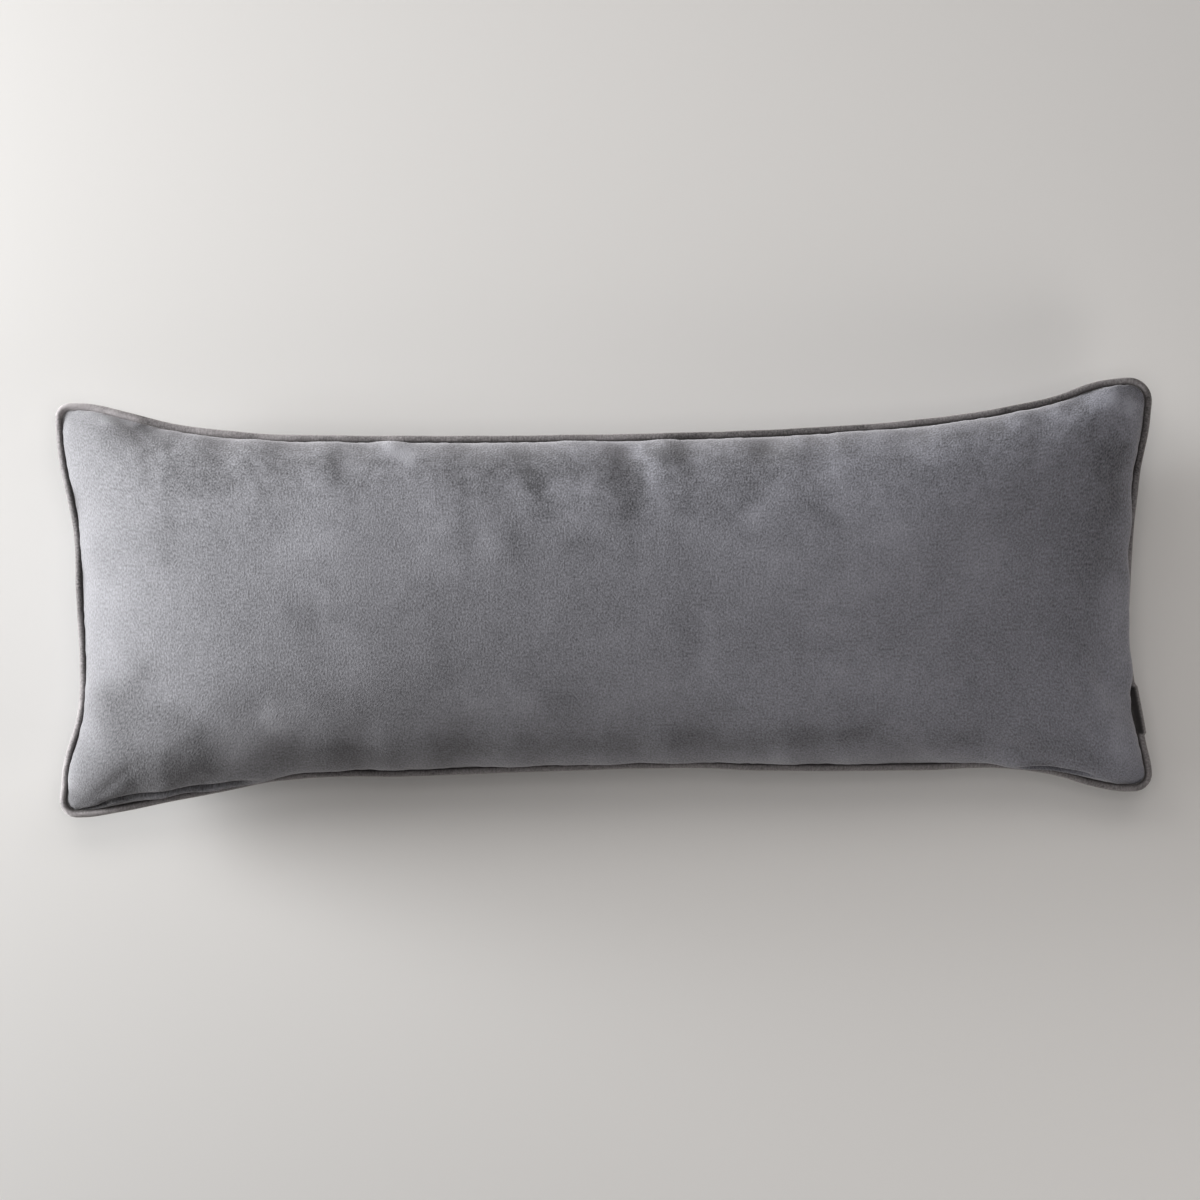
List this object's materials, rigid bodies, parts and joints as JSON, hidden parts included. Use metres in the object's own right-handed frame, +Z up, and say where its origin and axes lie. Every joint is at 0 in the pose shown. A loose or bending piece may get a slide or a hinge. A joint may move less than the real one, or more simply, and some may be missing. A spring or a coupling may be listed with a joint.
{
  "type": "lumbar cushion",
  "caption": "Long oblong lumbar cushion in grey suede cloth, plumply filled, with self-fabric corded piping round the seam; lies flat on its back.",
  "frame": {"origin": "on the floor, below the middle of the cushion's outline", "axes": "+X along the cushion's length, +Y across its width, +Z up out of the front face; the cushion lies on its back"},
  "size_m": [0.9134, 0.3446, 0.1479],
  "materials": {
    "suede": "soft brushed cool grey faux suede with a matt nap",
    "piping_suede": "the same suede wrapped round a cord, slightly darker and warmer"
  },
  "bodies": {
    "root": {"cushion": "suede", "piping": "piping_suede"}
  },
  "joints": []
}
